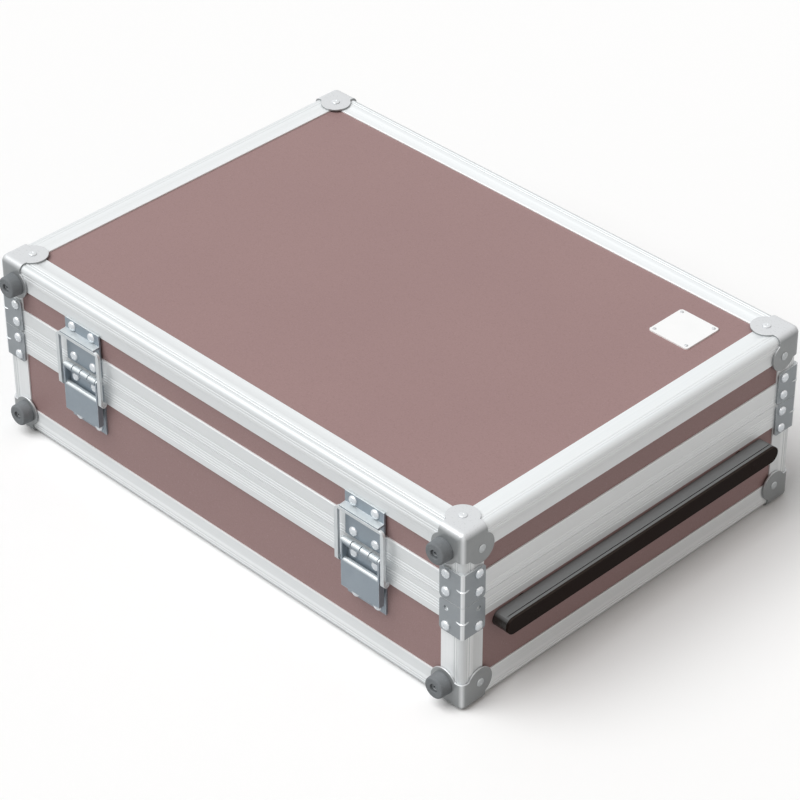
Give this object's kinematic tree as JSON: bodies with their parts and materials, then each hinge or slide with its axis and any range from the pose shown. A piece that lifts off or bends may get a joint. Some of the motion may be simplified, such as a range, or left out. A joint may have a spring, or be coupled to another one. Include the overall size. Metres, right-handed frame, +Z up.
{
  "type": "art supply box",
  "caption": "Rectangular art supply case with panelled sides, aluminium edges, steel corners, a hinged lid with draw latches and a pull-out side handle.",
  "frame": {"origin": "under the middle of the whole outline, on the plane the case stands on", "axes": "+X to the handle end, -Y to the latch side, +Y to the hinges, +Z up"},
  "size_m": [0.497, 0.3665, 0.1541],
  "materials": {
    "panel": "laminated board, satin brown-mauve",
    "aluminium": "satin anodised with fine lengthwise ribs",
    "steel": "zinc plated sheet and rivets",
    "rubber": "grey rubber",
    "black_plastic": "black moulded plastic",
    "white_plate": "white lacquered plate",
    "lining": "dark foam sheet"
  },
  "bodies": {
    "base": {"base_corner_braces": "steel", "base_corner_caps": "steel", "base_corner_posts": "aluminium", "base_edge_back": "aluminium", "base_edge_front": "aluminium", "base_edge_left": "aluminium", "base_edge_right": "aluminium", "base_fasteners": "steel", "base_feet": "rubber", "base_lining": "lining", "base_panel_back": "panel", "base_panel_bottom": "panel", "base_panel_front": "panel", "base_panel_left": "panel", "base_panel_right": "panel", "base_rim_back": "aluminium", "base_rim_front": "aluminium", "base_rim_left": "aluminium", "base_rim_right": "aluminium", "handle_guides": "steel", "hinge_base_leaf_left": "steel", "hinge_base_leaf_right": "steel", "hinge_pins": "steel", "latch_plate_left": "steel", "latch_plate_right": "steel", "pivot_pins": "steel"},
    "lid": {"badge_plate": "white_plate", "hinge_lid_leaf_left": "steel", "hinge_lid_leaf_right": "steel", "lid_corner_braces": "steel", "lid_corner_caps": "steel", "lid_corner_posts": "aluminium", "lid_edge_back": "aluminium", "lid_edge_front": "aluminium", "lid_edge_left": "aluminium", "lid_edge_right": "aluminium", "lid_fasteners": "steel", "lid_feet": "rubber", "lid_lining": "lining", "lid_panel_back": "panel", "lid_panel_front": "panel", "lid_panel_left": "panel", "lid_panel_right": "panel", "lid_panel_top": "panel", "lid_rim_back": "aluminium", "lid_rim_front": "aluminium", "lid_rim_left": "aluminium", "lid_rim_right": "aluminium", "strike_left": "steel", "strike_right": "steel"},
    "lever_left": {"lever_left": "steel"},
    "lever_right": {"lever_right": "steel"},
    "bail_left": {"bail_left": "steel", "bail_pin_left": "steel"},
    "bail_right": {"bail_right": "steel", "bail_pin_right": "steel"},
    "handle": {"handle_grip": "black_plastic", "handle_cover": "black_plastic", "handle_screws": "steel", "handle_posts": "steel"}
  },
  "joints": [
    {"name": "lid_hinge", "type": "hinge", "parent": "base", "child": "lid", "pos_m": [-0.00485, 0.1774, 0.0925], "axis": [-1, 0, 0], "range_deg": [0, 105]},
    {"name": "lever_left_pivot", "type": "hinge", "parent": "base", "child": "lever_left", "pos_m": [-0.15285, -0.1774, 0.0925], "axis": [-1, 0, 0], "range_deg": [0, 150]},
    {"name": "bail_left_pivot", "type": "hinge", "parent": "lever_left", "child": "bail_left", "pos_m": [-0.15285, -0.1772, 0.075], "axis": [-1, 0, 0], "range_deg": [-150, 0]},
    {"name": "lever_right_pivot", "type": "hinge", "parent": "base", "child": "lever_right", "pos_m": [0.14315, -0.1774, 0.0925], "axis": [-1, 0, 0], "range_deg": [0, 150]},
    {"name": "bail_right_pivot", "type": "hinge", "parent": "lever_right", "child": "bail_right", "pos_m": [0.14315, -0.1772, 0.075], "axis": [-1, 0, 0], "range_deg": [-150, 0]},
    {"name": "handle_slide", "type": "slide", "parent": "base", "child": "handle", "axis": [1, 0, 0], "range_m": [0, 0.0248]}
  ],
  "couplings": [
    {"joint": "bail_left_pivot", "follows": "lever_left_pivot", "ratio": -1},
    {"joint": "bail_right_pivot", "follows": "lever_right_pivot", "ratio": -1}
  ]
}
